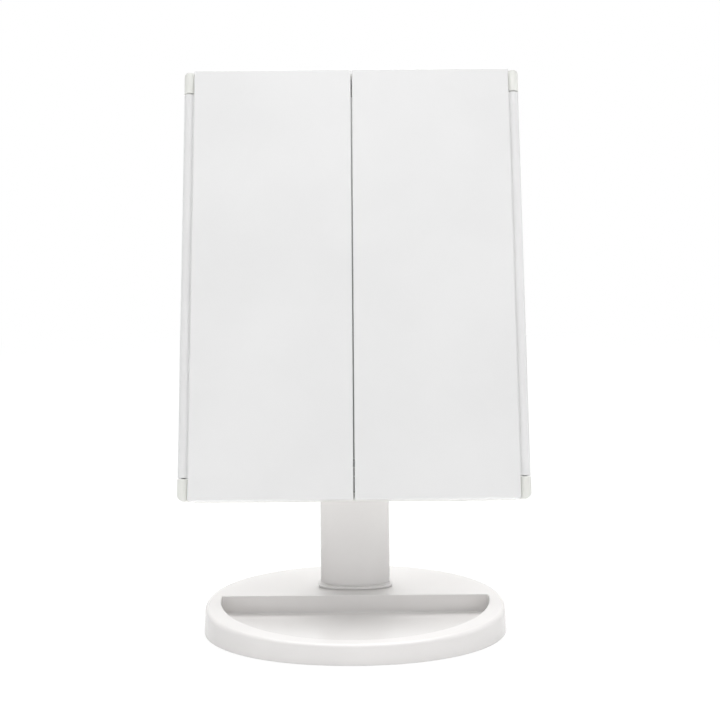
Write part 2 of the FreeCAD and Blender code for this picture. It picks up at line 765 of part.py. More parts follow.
def make_front_frame():
    plate = slab(-centre_half_width, centre_half_width, frame_front_y, frame_back_y, 0, panel_height,
                 centre_corner_radius)
    recess = slab(-opening_half_x, opening_half_x, 0, frame_floor_y, opening_bottom, opening_top,
                  opening_corner_radius)
    grooves = [sided(hinge_cylinder(groove_radius, knuckle_bottom, panel_height - knuckle_top), side)
               for side in (-1, 1)]
    plate = plate.cut([recess] + grooves)

    knuckles = []
    bores = []
    for side in (-1, 1):
        knuckles.append(sided(knuckle(0, knuckle_bottom, knuckle_corner_bottom), side))
        knuckles.append(sided(knuckle(panel_height - knuckle_top, panel_height, knuckle_corner_top), side))
        bores.append(sided(hinge_cylinder(hinge_pin_radius + thread_gap, -1, panel_height + 1), side))
    bosses = [rod_y(x, z, frame_boss_radius, frame_back_y, housing_inner_y)
              for x, z in housing_screw_points()]
    plate = union([plate] + knuckles + bosses)

    window_half = light_window_width / 2
    side_low = light_window_end + led_board_lap
    windows = [block(side * strip_middle_x - window_half, side * strip_middle_x + window_half,
                     frame_floor_y - 1, frame_back_y + 1, side_low, side_window_top) for side in (-1, 1)]
    windows.append(block(-glass_half_x + window_half, glass_half_x - window_half, frame_floor_y - 1,
                         frame_back_y + 1, strip_middle_z - window_half, strip_middle_z + window_half))
    pilots = [rod_y(x, z, screw_shank_radius + thread_gap, frame_back_y, housing_inner_y + 1)
              for x, z in housing_screw_points()]
    return plate.cut(bores + windows + pilots)


def make_centre_glass():
    return block(-glass_half_x + seat_gap, glass_half_x - seat_gap, glass_front_y, glass_back_y,
                 opening_bottom + seat_gap, glass_top - seat_gap)


def make_centre_tape():
    strips = []
    for x in (-tape_x, 0.0, tape_x):
        strips.append(block(x - tape_width / 2, x + tape_width / 2, glass_back_y, frame_floor_y,
                            touch_pad_z + touch_pad_radius + tape_end_gap, glass_top - tape_end_gap))
    return group(strips)


def make_side_diffuser():
    return slab(glass_half_x + seat_gap, opening_half_x - seat_gap, glass_front_y, frame_floor_y,
                opening_bottom + seat_gap, opening_top - seat_gap, opening_corner_radius)


def make_top_diffuser():
    return block(-glass_half_x + seat_gap, glass_half_x - seat_gap, glass_front_y, frame_floor_y,
                 glass_top + seat_gap, opening_top - seat_gap)


def make_side_board():
    half = led_board_width / 2
    return block(strip_middle_x - half, strip_middle_x + half, frame_back_y,
                 frame_back_y + led_board_thickness, light_window_end, side_window_top + led_board_lap)


def make_top_board():
    half = led_board_width / 2
    half_x = glass_half_x - led_board_end_gap
    return block(-half_x, half_x, frame_back_y, frame_back_y + led_board_thickness,
                 strip_middle_z - half, strip_middle_z + half)


def led(x, z):
    half = led_size / 2
    return block(x - half, x + half, frame_back_y - led_height, frame_back_y, z - half, z + half)


def spread(low, high, count):
    return [low + (high - low) * (k + 0.5) / count for k in range(count)]


def make_side_leds():
    return group([led(strip_middle_x, z)
                  for z in spread(light_window_end, side_window_top, led_count)])


def make_top_leds():
    return group([led(x, strip_middle_z) for x in spread(-glass_half_x, glass_half_x, led_count)])


def make_touch_pad():
    return rod_y(0, touch_pad_z, touch_pad_radius, glass_back_y, frame_floor_y)


def hump_block(x0, x1, y0, y1, z0, z1, corner, edge):
    hump = slab(x0, x1, y0, y1, z0, z1, corner)
    return hump.makeFillet(edge, edges_at(hump, "y", y1))


def housing_outer():
    plate = slab(-centre_half_width, centre_half_width, frame_back_y, housing_back_y, 0, panel_height,
                 centre_corner_radius)
    plate = plate.makeFillet(housing_back_round, edges_at(plate, "y", housing_back_y))
    hump = hump_block(-hump_half_width, hump_half_width, housing_inner_y, hump_back_y, hump_bottom, hump_top,
                      hump_corner_radius, hump_round)
    return union([plate, hump])


def housing_cores():
    """The hollows that leave the housing a shell of even wall."""
    inner_x = hump_half_width - hump_wall
    overlap = housing_inner_y - 0.1
    cores = [block(-cavity_half_x, cavity_half_x, frame_back_y - 1, housing_inner_y, housing_wall,
                   panel_height - housing_wall)]
    middle_low = slot_top + slot_wall
    middle_high = door_bottom - bay_wall
    rail_block_y = door_inner_y - door_rail_depth
    cores.append(block(-slot_half_x, slot_half_x, overlap, hump_back_y - hump_wall,
                       middle_low, middle_high))
    for side in (-1, 1):
        leg = block(slot_half_x + slot_wall, inner_x, overlap, hump_back_y - hump_wall,
                    hump_bottom + hump_wall, middle_high)
        beside_bay = block(bay_half_x + bay_wall, inner_x, overlap, rail_block_y,
                           middle_high + hump_wall, hump_top - hump_wall)
        cores += [sided(leg, side), sided(beside_bay, side)]
    return cores


def door_track(clearance, z_low, z_high):
    """The door's plate and its two side tongues, grown by clearance on every side."""
    plate = block(-door_half_x - clearance, door_half_x + clearance, door_inner_y - clearance,
                  hump_back_y + 1, z_low, z_high)
    tongues = block(-door_half_x - door_tongue - clearance, door_half_x + door_tongue + clearance,
                    door_inner_y - clearance, door_inner_y + door_tongue_thickness + clearance, z_low, z_high)
    return union([plate, tongues])


def knob_centre_x():
    return -switch_x - switch_travel / 2


def make_rear_housing():
    outer = housing_outer()
    shell = outer.cut(housing_cores())

    slot_box = block(-slot_half_x - slot_wall, slot_half_x + slot_wall, slot_front_y - slot_floor_wall,
                     hump_back_y, 0, slot_top + slot_wall)
    bay_box = block(-bay_half_x - bay_wall, bay_half_x + bay_wall, bay_front_y - bay_floor, door_inner_y,
                    bay_bottom - bay_wall, bay_top + bay_wall)
    lugs = [sided(rod_x(pivot_depth, pivot_height, lug_boss_radius, slot_half_x, lug_end_x), side)
            for side in (-1, 1)]
    board_x = control_board_x - control_board_width / 2
    standoff_z = (control_board_z + standoff_low, control_board_z + control_board_height - standoff_high)
    standoffs = [block(board_x + standoff_inset, board_x + control_board_width - standoff_inset,
                       control_board_back_y, housing_inner_y, z, z + standoff_height) for z in standoff_z]
    inside = outer.common(union([slot_box, bay_box] + lugs))
    shell = union([shell, inside] + standoffs)

    cuts = [block(-slot_half_x, slot_half_x, slot_front_y, 2 * hump_back_y, -1, slot_top),
            block(-bay_half_x, bay_half_x, bay_front_y, hump_back_y, bay_bottom, bay_top),
            rod_x(pivot_depth, pivot_height, axle_radius + thread_gap, -hump_half_width + hump_wall,
                  hump_half_width - hump_wall),
            door_track(moving_gap, door_bottom - moving_gap, hump_top + 1)]
    cuts += [sided(hinge_cylinder(groove_radius, -1, panel_height + 1), side) for side in (-1, 1)]
    for x, z in housing_screw_points():
        cuts.append(rod_y(x, z, screw_hole_radius, housing_inner_y - 0.5, housing_back_y + 1))
        cuts.append(rod_y(x, z, screw_head_radius + seat_gap, housing_screw_seat_y, housing_back_y + 1))
    travel_half = (switch_knob_width + switch_travel) / 2 + moving_gap
    height_half = switch_knob_height / 2 + moving_gap
    cuts.append(block(-switch_x - travel_half, -switch_x + travel_half, housing_inner_y - 1,
                      housing_back_y + 1, switch_z - height_half, switch_z + height_half))
    port_half = usb_width / 2 + seat_gap
    cuts.append(block(control_board_x - port_half, control_board_x + port_half, usb_front_y - seat_gap,
                      usb_front_y + usb_height + seat_gap, -1, housing_wall + 1))
    return shell.cut(cuts)


def make_battery_door():
    door = housing_outer().common(door_track(0, door_bottom, hump_top))
    ridges = []
    for k in range(door_ridges):
        z = door_bottom + door_ridge_start + door_ridge_pitch * k
        ridges.append(rod_x(hump_back_y, z, door_ridge_radius, -door_ridge_width / 2, door_ridge_width / 2))
    return union([door] + ridges)


def cell_positions():
    """Middle of each cell across the bay, and which end its nub is on."""
    first = -cell_pitch * (cell_count - 1) / 2
    return [(first + cell_pitch * k, k % 2 == 0) for k in range(cell_count)]


def make_cell(x, nub_up):
    low = bay_bottom + contact_thickness + (spring_length if nub_up else 0)
    high = low + cell_length
    can_low = low + (0 if nub_up else cell_nub_length)
    can_high = high - (cell_nub_length if nub_up else 0)
    can = rod_z(x, cell_y, cell_radius, can_low, can_high)
    can = can.makeFillet(cell_edge_round, [edge for edge in can.Edges if spans(edge, "z") < 0.001])
    return union([can, rod_z(x, cell_y, cell_nub_radius, low, high)])


def make_contact_plates():
    plates = []
    low_y = cell_y - contact_height / 2
    for x, _ in cell_positions():
        for z in (bay_bottom, bay_top - contact_thickness):
            plates.append(block(x - contact_width / 2, x + contact_width / 2, low_y, low_y + contact_height,
                                z, z + contact_thickness))
    return group(plates)


def make_cell_spring(x, nub_up):
    rise = (spring_length - 2 * spring_wire_radius) / (spring_turns - 1)
    rings = []
    for k in range(spring_turns):
        share = k / (spring_turns - 1)
        radius = spring_large_radius + share * (spring_small_radius - spring_large_radius)
        height = spring_wire_radius + rise * k
        if nub_up:
            z = bay_bottom + contact_thickness + height
        else:
            z = bay_top - contact_thickness - height
        rings.append(Part.makeTorus(radius, spring_wire_radius, Vec(x, cell_y, z), Z_AXIS))
    return union(rings)


def make_control_board():
    x0 = control_board_x - control_board_width / 2
    return block(x0, x0 + control_board_width, control_board_front_y, control_board_back_y, control_board_z,
                 control_board_z + control_board_height)


def make_board_parts():
    """Driver chip, connector and coil on the control board."""
    x = control_board_x
    front = control_board_front_y
    low = control_board_z + chip_z
    chip = block(x - chip_size / 2, x + chip_size / 2, front - chip_thickness, front, low, low + chip_size)
    low = control_board_z + connector_z
    connector = block(x - connector_width / 2, x + connector_width / 2, front - connector_thickness, front,
                      low, low + connector_height)
    coil = rod_y(x + coil_x, control_board_z + coil_z, coil_radius, front - coil_thickness, front)
    return group([chip, connector, coil])


def make_usb_socket():
    x0 = control_board_x - usb_width / 2
    x1 = control_board_x + usb_width / 2
    y0 = usb_front_y
    y1 = y0 + usb_height
    z0 = usb_setback
    shell = slab(x0, x1, y0, y1, z0, z0 + usb_length, usb_corner_radius)
    hollow = block(x0 + usb_wall, x1 - usb_wall, y0 + usb_wall, y1 - usb_wall, z0 - 1,
                   z0 + usb_length - 2 * usb_wall)
    middle = (y0 + y1) / 2
    tongue = block(control_board_x - usb_tongue_width / 2, control_board_x + usb_tongue_width / 2,
                   middle - usb_tongue / 2, middle + usb_tongue / 2, z0 + usb_tongue_setback, z0 + usb_length)
    return union([shell.cut(hollow), tongue])


def make_switch_body():
    half_x = switch_body_width / 2
    half_z = switch_body_height / 2
    body = block(-switch_x - half_x, -switch_x + half_x, housing_inner_y - switch_body_depth, housing_inner_y,
                 switch_z - half_z, switch_z + half_z)
    travel_half = (switch_knob_width + switch_travel) / 2 + switch_foot_lip + moving_gap
    height_half = switch_knob_height / 2 + moving_gap
    track = block(-switch_x - travel_half, -switch_x + travel_half,
                  housing_inner_y - switch_foot_depth - moving_gap, housing_inner_y + 1,
                  switch_z - height_half, switch_z + height_half)
    return body.cut(track)


def make_switch_knob():
    x = knob_centre_x()
    half = switch_knob_width / 2
    half_z = switch_knob_height / 2
    foot_top = housing_inner_y - switch_face_gap
    foot = block(x - half - switch_foot_lip, x + half + switch_foot_lip, housing_inner_y - switch_foot_depth,
                 foot_top, switch_z - half_z, switch_z + half_z)
    stem = block(x - half, x + half, foot_top - 0.1, housing_back_y + switch_knob_proud,
                 switch_z - half_z, switch_z + half_z)
    face_y = housing_back_y + switch_knob_proud
    grips = []
    for k in (-1, 0, 1):
        low_x = x + k * switch_grip_pitch - switch_grip_width / 2
        grips.append(block(low_x, low_x + switch_grip_width, face_y - switch_grip_depth, face_y + 1,
                           switch_z - half_z - 1, switch_z + half_z + 1))
    return union([foot, stem]).cut(grips)


def make_tilt_axle():
    shank = rod_x(pivot_depth, pivot_height, axle_radius, -lug_end_x, lug_end_x + nut_thickness)
    head = hexagon_prism(pivot_depth, pivot_height, axle_head_radius, -lug_end_x - axle_head_thickness,
                         -lug_end_x)
    return union([shank, head])


def make_tilt_nut():
    nut = hexagon_prism(pivot_depth, pivot_height, axle_head_radius, lug_end_x, lug_end_x + nut_thickness)
    return nut.cut(rod_x(pivot_depth, pivot_height, axle_radius + thread_gap, 0, 2 * lug_end_x))


def make_housing_screws():
    return group([screw(Vec(x, housing_screw_seat_y, z), Vec(0, -1, 0), housing_screw_length)
                  for x, z in housing_screw_points()])


def build_centre():
    nodes = {"centre_front_frame": make_front_frame(), "centre_rear_housing": make_rear_housing(),
             "centre_mirror": make_centre_glass(), "centre_mirror_tape": make_centre_tape(),
             "light_strip_top": make_top_diffuser(), "led_board_top": make_top_board(),
             "leds_top": make_top_leds(), "touch_sensor_pad": make_touch_pad(),
             "control_board": make_control_board(), "control_board_parts": make_board_parts(),
             "usb_socket": make_usb_socket(), "power_switch_body": make_switch_body(),
             "housing_screws": make_housing_screws(), "tilt_axle": make_tilt_axle(),
             "tilt_axle_nut": make_tilt_nut(), "battery_contacts": make_contact_plates()}
    for name, side in (("left", -1), ("right", 1)):
        nodes["light_strip_" + name] = sided(make_side_diffuser(), side)
        nodes["led_board_" + name] = sided(make_side_board(), side)
        nodes["leds_" + name] = sided(make_side_leds(), side)
        nodes[name + "_hinge_pin_top"] = sided(make_hinge_pin(True), side)
        nodes[name + "_hinge_pin_bottom"] = sided(make_hinge_pin(False), side)
    for number, (x, nub_up) in enumerate(cell_positions(), 1):
        nodes["battery_cell_%d" % number] = make_cell(x, nub_up)
    nodes["battery_springs"] = group([make_cell_spring(x, nub_up) for x, nub_up in cell_positions()])
    return nodes


# ---- Assembly ----
def place_head(shape):
    """From the head's own frame to the construction frame: the pivot meets the post, the head leans back."""
    placed = shape.copy()
    placed.translate(Vec(0, -pivot_depth, -pivot_height))
    placed.rotate(Vec(0, 0, 0), X_AXIS, -head_tilt)
    placed.translate(Vec(0, post_y, pivot_z))
    return placed


def build_all():
    nodes = dict(build_base())
    nodes.update(build_post())
    head = dict(build_centre())
    head["battery_door"] = make_battery_door()
    head["power_switch_knob"] = make_switch_knob()
    head.update(build_wing("left", -1, True))
    head.update(build_wing("right", 1, False))
    nodes.update({name: place_head(shape) for name, shape in head.items()})
    return nodes


def footprint_centre_y(nodes):
    """Middle of the whole object from front to back, which becomes Y = 0 of the row frame."""
    boxes = [shape.optimalBoundingBox(False, False) for shape in nodes.values()]
    return (min(box.YMin for box in boxes) + max(box.YMax for box in boxes)) / 2


def main():
    os.makedirs("parts", exist_ok=True)
    nodes = build_all()
    shift = -footprint_centre_y(nodes)
    print("row frame shift in y: %.4f" % shift)
    for name, shape in nodes.items():
        shape.translate(Vec(0, shift, 0))
        shape.exportStep(os.path.join("parts", name + ".step"))
        print("%-24s solids %2d  volume %9.1f  valid %s"
              % (name, len(shape.Solids), shape.Volume, shape.isValid()))


main()
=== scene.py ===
import math

import bmesh
import bpy
from mathutils import Matrix, Vector


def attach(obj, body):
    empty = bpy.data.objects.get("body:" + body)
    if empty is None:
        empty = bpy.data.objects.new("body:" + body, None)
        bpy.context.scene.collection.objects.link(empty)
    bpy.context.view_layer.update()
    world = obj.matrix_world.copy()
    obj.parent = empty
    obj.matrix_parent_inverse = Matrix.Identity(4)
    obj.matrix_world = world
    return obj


# Trifold vanity mirror: looks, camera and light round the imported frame. Metres, in the row frame:
# +X to the viewer's right, +Y away from the viewer, +Z up.

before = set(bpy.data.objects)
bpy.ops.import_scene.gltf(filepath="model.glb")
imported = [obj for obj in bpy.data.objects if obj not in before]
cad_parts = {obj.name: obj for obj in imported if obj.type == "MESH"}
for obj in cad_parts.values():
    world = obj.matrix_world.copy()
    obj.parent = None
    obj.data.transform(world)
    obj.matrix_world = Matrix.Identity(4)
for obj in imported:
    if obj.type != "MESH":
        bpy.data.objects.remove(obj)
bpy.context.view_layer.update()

# ---- The head's own frame: leaned back about the tilt hinge ----
LEAN = math.radians(18.0)
PIVOT = Vector((0.0, 0.0165822, 0.111))
PIVOT_IN_HEAD = Vector((0.0, 0.021, 0.050))
HEAD = Matrix.Translation(PIVOT) @ Matrix.Rotation(-LEAN, 4, "X") @ Matrix.Translation(-PIVOT_IN_HEAD)
FRONT = HEAD.to_3x3() @ Vector((0, -1, 0))
BACK = HEAD.to_3x3() @ Vector((0, 1, 0))

# Places on the head, in its own frame, in metres
GLASS_FACE_Y = 0.0066
STRIP_X = 0.0725             # middle of the side light strips
STRIP_TOP_Z = 0.2245         # middle of the top light strip
TOUCH_Z = 0.017
HOUSING_BACK_Y = 0.0170
DOOR_BACK_Y = 0.0290
DOOR_ARROW_Z = 0.0905
SWITCH_X = -0.054
SWITCH_Z = 0.042
LED_PHASE = 64.5             # half a pitch, plus whole pitches that keep the fraction's input above zero


# ---- Small tools for node trees ----
def add(tree, kind, inputs=None, **settings):
    """A shader node with its settings and inputs. An input is a number, a colour or another node's output."""
    node = tree.nodes.new("ShaderNode" + kind)
    for name, value in settings.items():
        setattr(node, name, value)
    for name, value in (inputs or {}).items():
        if isinstance(value, bpy.types.NodeSocket):
            tree.links.new(value, node.inputs[name])
        else:
            node.inputs[name].default_value = value
    return node


def math_node(tree, operation, a, b=0.0):
    return add(tree, "Math", {0: a, 1: b}, operation=operation).outputs[0]


def ramp(tree, factor, stops, smooth=False):
    """Colours along a factor. stops are (position, (r, g, b))."""
    node = add(tree, "ValToRGB", {"Fac": factor})
    line = node.color_ramp
    line.interpolation = "EASE" if smooth else "LINEAR"
    line.elements[0].position = stops[0][0]
    line.elements[0].color = (*stops[0][1], 1.0)
    line.elements[1].position = stops[-1][0]
    line.elements[1].color = (*stops[-1][1], 1.0)
    for position, colour in stops[1:-1]:
        line.elements.new(position).color = (*colour, 1.0)
    return node.outputs["Color"]


def mix_colour(tree, factor, a, b):
    node = add(tree, "Mix", {0: factor, 6: a, 7: b}, data_type="RGBA")
    return node.outputs[2]


def mix_value(tree, factor, a, b):
    node = add(tree, "Mix", {0: factor, 2: a, 3: b}, data_type="FLOAT")
    return node.outputs[0]


def spread(tree, factor, low, high):
    """low to high as factor goes from 0 to 1."""
    node = add(tree, "MapRange", {"Value": factor, "To Min": low, "To Max": high})
    return node.outputs["Result"]


def share(tree, value, low, high):
    """0 to 1, at an even rate, as value goes from low to high."""
    node = add(tree, "MapRange", {"Value": value, "From Min": low, "From Max": high})
    return node.outputs["Result"]


def smooth(tree, value, low, high):
    """0 to 1, easing in and out, as value goes from low to high, which may be the smaller."""
    node = add(tree, "MapRange", {"Value": value, "From Min": low, "From Max": high},
               interpolation_type="SMOOTHSTEP")
    return node.outputs["Result"]


def noise(tree, place, scale, detail=2.0, rough=0.5):
    node = add(tree, "TexNoise", {"Vector": place, "Scale": scale, "Detail": detail, "Roughness": rough})
    return node.outputs["Fac"]


def object_place(tree):
    return add(tree, "TexCoord").outputs["Object"]


def faces_along(tree, coordinates, direction):
    """How far the surface looks along direction: 1 straight along it, -1 straight against it."""
    node = add(tree, "VectorMath", {0: coordinates.outputs["Normal"], 1: tuple(direction)},
               operation="DOT_PRODUCT")
    return node.outputs["Value"]


def head_place(tree):
    """Coordinates in the head's own frame, so patterns line up with the leaned panel."""
    shift = PIVOT_IN_HEAD - Matrix.Rotation(LEAN, 3, "X") @ PIVOT
    node = add(tree, "Mapping", {"Vector": object_place(tree), "Rotation": (LEAN, 0.0, 0.0),
                                 "Location": tuple(shift)}, vector_type="POINT")
    return node.outputs["Vector"]


def new_material(name):
    material = bpy.data.materials.new(name)
    material.use_nodes = True
    tree = material.node_tree
    return material, tree, tree.nodes["Principled BSDF"]


def set_bump(tree, shader, layers):
    """Stacks bumps on the shader's normal. layers are (height, strength, distance)."""
    normal = None
    for height, strength, distance in layers:
        inputs = {"Height": height, "Strength": strength, "Distance": distance}
        if normal is not None:
            inputs["Normal"] = normal
        normal = add(tree, "Bump", inputs).outputs["Normal"]
    tree.links.new(normal, shader.inputs["Normal"])


def tint(colour, factor):
    return tuple(min(1.0, channel * factor) for channel in colour)


# ---- Materials ----
def moulded_plastic(name, colour, roughness, grain=0.15, grain_scale=2600.0, wave=0.10, sheen_spread=0.05):
    """Moulded plastic: faint cloudiness in the colour, uneven gloss, fine grain and slow waviness."""
    material, tree, shader = new_material(name)
    place = object_place(tree)
    cloud = noise(tree, place, 14.0, 4.0)
    tree.links.new(ramp(tree, cloud, [(0.30, tint(colour, 0.978)), (0.72, tint(colour, 1.012))], True),
                   shader.inputs["Base Color"])
    handling = noise(tree, place, 55.0, 5.0, 0.62)
    tree.links.new(spread(tree, handling, roughness - sheen_spread, roughness + sheen_spread),
                   shader.inputs["Roughness"])
    set_bump(tree, shader, [(noise(tree, place, 60.0, 1.0), wave, 0.0004),
                            (noise(tree, place, grain_scale, 2.0), grain, 0.00004)])
    return material


def eroded_plastic(name, colour, roughness, scale=1900.0, strength=0.55):
    """Plastic from a spark-eroded mould: an even, fine pebble that takes the gloss off."""
    material, tree, shader = new_material(name)
    place = object_place(tree)
    cells = add(tree, "TexVoronoi", {"Vector": place, "Scale": scale}, feature="SMOOTH_F1")
    pebble = cells.outputs["Distance"]
    cloud = noise(tree, place, 20.0, 3.0)
    tone = math_node(tree, "ADD", math_node(tree, "MULTIPLY", cloud, 0.7),
                     math_node(tree, "MULTIPLY", pebble, 0.4))
    tree.links.new(ramp(tree, tone, [(0.2, tint(colour, 0.97)), (0.8, tint(colour, 1.02))]),
                   shader.inputs["Base Color"])
    tree.links.new(spread(tree, pebble, roughness - 0.08, roughness + 0.08), shader.inputs["Roughness"])
    set_bump(tree, shader, [(pebble, strength, 0.00006), (noise(tree, place, 90.0), 0.08, 0.0003)])
    return material


def metal(name, colour, roughness, line_scale=(1.0, 1.0, 1.0), scratch=900.0):
    """Plated or rolled metal: darker patches, and fine lines along an axis with a small line_scale."""
    material, tree, shader = new_material(name)
    place = object_place(tree)
    stretched = add(tree, "Mapping", {"Vector": place, "Scale": line_scale}).outputs["Vector"]
    lines = noise(tree, stretched, scratch, 4.0, 0.7)
    patches = noise(tree, place, 130.0, 4.0)
    tree.links.new(ramp(tree, patches, [(0.3, tint(colour, 0.88)), (0.7, colour)], True),
                   shader.inputs["Base Color"])
    shader.inputs["Metallic"].default_value = 1.0
    tree.links.new(spread(tree, lines, roughness * 0.7, roughness * 1.3), shader.inputs["Roughness"])
    set_bump(tree, shader, [(lines, 0.12, 0.00003)])
    return material


def mirror_glass(name, facing):
    """Silvered glass: a mirror on the face that looks along facing, green edges and a painted back."""
    material, tree, shader = new_material(name)
    coordinates = add(tree, "TexCoord")
    toward = faces_along(tree, coordinates, facing)
    face = math_node(tree, "GREATER_THAN", toward, 0.9)
    back = math_node(tree, "LESS_THAN", toward, -0.9)
    place = coordinates.outputs["Object"]
    smear = noise(tree, place, 38.0, 5.0, 0.7)
    silver = ramp(tree, smear, [(0.3, (0.79, 0.805, 0.80)), (0.7, (0.82, 0.83, 0.825))], True)
    edge = ramp(tree, noise(tree, place, 260.0), [(0.3, (0.20, 0.33, 0.28)), (0.7, (0.34, 0.48, 0.42))])
    paint = ramp(tree, noise(tree, place, 60.0), [(0.3, (0.22, 0.21, 0.20)), (0.7, (0.27, 0.26, 0.25))])
    colour = mix_colour(tree, face, mix_colour(tree, back, edge, paint), silver)
    tree.links.new(colour, shader.inputs["Base Color"])
    tree.links.new(face, shader.inputs["Metallic"])
    polish = spread(tree, smear, 0.004, 0.022)
    dull = spread(tree, smear, 0.18, 0.30)
    tree.links.new(mix_value(tree, face, dull, polish), shader.inputs["Roughness"])
    return material


def light_diffuser(name, along, start, pitch):
    """Frosted strip with the LEDs behind it just showing.

    along is the head's axis that the strip runs on. The first LED is at start on it, the rest a pitch apart.
    """
    material, tree, shader = new_material(name)
    place = head_place(tree)
    parts = add(tree, "SeparateXYZ", {"Vector": place})
    run = parts.outputs["X"] if along == "X" else parts.outputs["Z"]
    across = parts.outputs["Z"] if along == "X" else math_node(tree, "ABSOLUTE", parts.outputs["X"])
    middle = STRIP_TOP_Z if along == "X" else STRIP_X
    steps = math_node(tree, "DIVIDE", math_node(tree, "SUBTRACT", run, start), pitch)
    fraction = math_node(tree, "FRACT", math_node(tree, "ADD", steps, LED_PHASE))
    offset = math_node(tree, "SUBTRACT", fraction, 0.5)
    dx = math_node(tree, "MULTIPLY", offset, pitch)
    dy = math_node(tree, "SUBTRACT", across, middle)
    square = math_node(tree, "ADD", math_node(tree, "MULTIPLY", dx, dx), math_node(tree, "MULTIPLY", dy, dy))
    distance = math_node(tree, "SQRT", square)
    speck = noise(tree, place, 700.0, 3.0)
    reach = math_node(tree, "ADD", distance, spread(tree, speck, -0.0004, 0.0004))
    glow = spread(tree, share(tree, reach, 0.0012, 0.0040), 1.0, 0.0)
    tree.links.new(mix_colour(tree, glow, (0.83, 0.845, 0.85, 1.0), (0.88, 0.80, 0.55, 1.0)),
                   shader.inputs["Base Color"])
    shader.inputs["Subsurface Weight"].default_value = 0.25
    shader.inputs["Subsurface Radius"].default_value = (0.004, 0.004, 0.004)
    shader.inputs["Subsurface Scale"].default_value = 0.6
    tree.links.new(spread(tree, speck, 0.42, 0.56), shader.inputs["Roughness"])
    set_bump(tree, shader, [(speck, 0.25, 0.00005), (noise(tree, place, 3000.0), 0.2, 0.00003)])
    return material


def foot_rubber():
    material, tree, shader = new_material("rubber_foot")
    place = object_place(tree)
    grain = noise(tree, place, 1500.0, 4.0)
    tree.links.new(ramp(tree, grain, [(0.3, (0.62, 0.62, 0.61)), (0.7, (0.70, 0.70, 0.69))]),
                   shader.inputs["Base Color"])
    tree.links.new(spread(tree, grain, 0.72, 0.9), shader.inputs["Roughness"])
    set_bump(tree, shader, [(grain, 0.5, 0.00006)])
    return material


def foam_tape():
    material, tree, shader = new_material("foam_tape")
    place = object_place(tree)
    cells = add(tree, "TexVoronoi", {"Vector": place, "Scale": 1400.0}).outputs["Distance"]
    tree.links.new(ramp(tree, cells, [(0.1, (0.50, 0.50, 0.48)), (0.6, (0.78, 0.78, 0.75))]),
                   shader.inputs["Base Color"])
    shader.inputs["Roughness"].default_value = 0.95
    set_bump(tree, shader, [(cells, 0.9, 0.0001)])
    return material


def circuit_board(name, mask, trace):
    """Solder mask over square-cornered copper tracks, with plated holes between them."""
    material, tree, shader = new_material(name)
    place = head_place(tree)
    parts = add(tree, "SeparateXYZ", {"Vector": place})
    flat = add(tree, "CombineXYZ", {"X": parts.outputs["X"], "Y": parts.outputs["Z"]}).outputs["Vector"]
    tracks = add(tree, "TexBrick", {"Vector": flat, "Scale": 260.0, "Mortar Size": 0.03, "Brick Width": 0.9,
                                    "Row Height": 0.42, "Bias": 0.2}, offset=0.37).outputs["Fac"]
    holes = add(tree, "TexVoronoi", {"Vector": flat, "Scale": 190.0, "Randomness": 0.55}).outputs["Distance"]
    ring = math_node(tree, "LESS_THAN", holes, 0.13)
    shade = mix_colour(tree, tracks, (*mask, 1.0), (*trace, 1.0))
    colour = mix_colour(tree, ring, shade, (0.62, 0.58, 0.50, 1.0))
    tree.links.new(colour, shader.inputs["Base Color"])
    tree.links.new(spread(tree, noise(tree, place, 900.0), 0.28, 0.42), shader.inputs["Roughness"])
    set_bump(tree, shader, [(tracks, 0.3, 0.00004)])
    return material


def led_package():
    """White package with the yellow phosphor window in the middle of its face."""
    material, tree, shader = new_material("led_package")
    coordinates = add(tree, "TexCoord")
    face = math_node(tree, "GREATER_THAN", faces_along(tree, coordinates, FRONT), 0.9)
    speck = noise(tree, coordinates.outputs["Object"], 2500.0, 3.0)
    phosphor = ramp(tree, speck, [(0.3, (0.80, 0.62, 0.12)), (0.7, (0.90, 0.76, 0.25))])
    body = ramp(tree, speck, [(0.3, (0.78, 0.78, 0.76)), (0.7, (0.86, 0.86, 0.84))])
    tree.links.new(mix_colour(tree, face, body, phosphor), shader.inputs["Base Color"])
    tree.links.new(spread(tree, speck, 0.2, 0.34), shader.inputs["Roughness"])
    return material


def cell_jacket(name, low, high):
    """A dry cell's sleeve: metal ends, a dark body, a pale band and a lighter end by the nub.

    low and high are the heights on the head of the can's flat end and of its nub end.
    """
    material, tree, shader = new_material(name)
    place = head_place(tree)
    height = add(tree, "SeparateXYZ", {"Vector": place}).outputs["Z"]
    along = share(tree, height, low, high)
    steel = (0.70, 0.70, 0.69)
    dark = (0.035, 0.085, 0.100)
    pale = (0.55, 0.62, 0.62)
    teal = (0.10, 0.30, 0.34)
    stops = [(0.0, steel), (0.018, steel), (0.020, dark), (0.690, dark), (0.692, pale), (0.715, pale),
             (0.717, teal), (0.978, teal), (0.980, steel), (1.0, steel)]
    bands = ramp(tree, along, stops)
    sleeve = math_node(tree, "MULTIPLY", math_node(tree, "GREATER_THAN", along, 0.019),
                       math_node(tree, "LESS_THAN", along, 0.979))
    lines = noise(tree, place, 1100.0, 3.0)
    tree.links.new(bands, shader.inputs["Base Color"])
    tree.links.new(math_node(tree, "SUBTRACT", 1.0, sleeve), shader.inputs["Metallic"])
    tree.links.new(spread(tree, lines, 0.22, 0.34), shader.inputs["Roughness"])
    set_bump(tree, shader, [(lines, 0.06, 0.00003)])
    return material


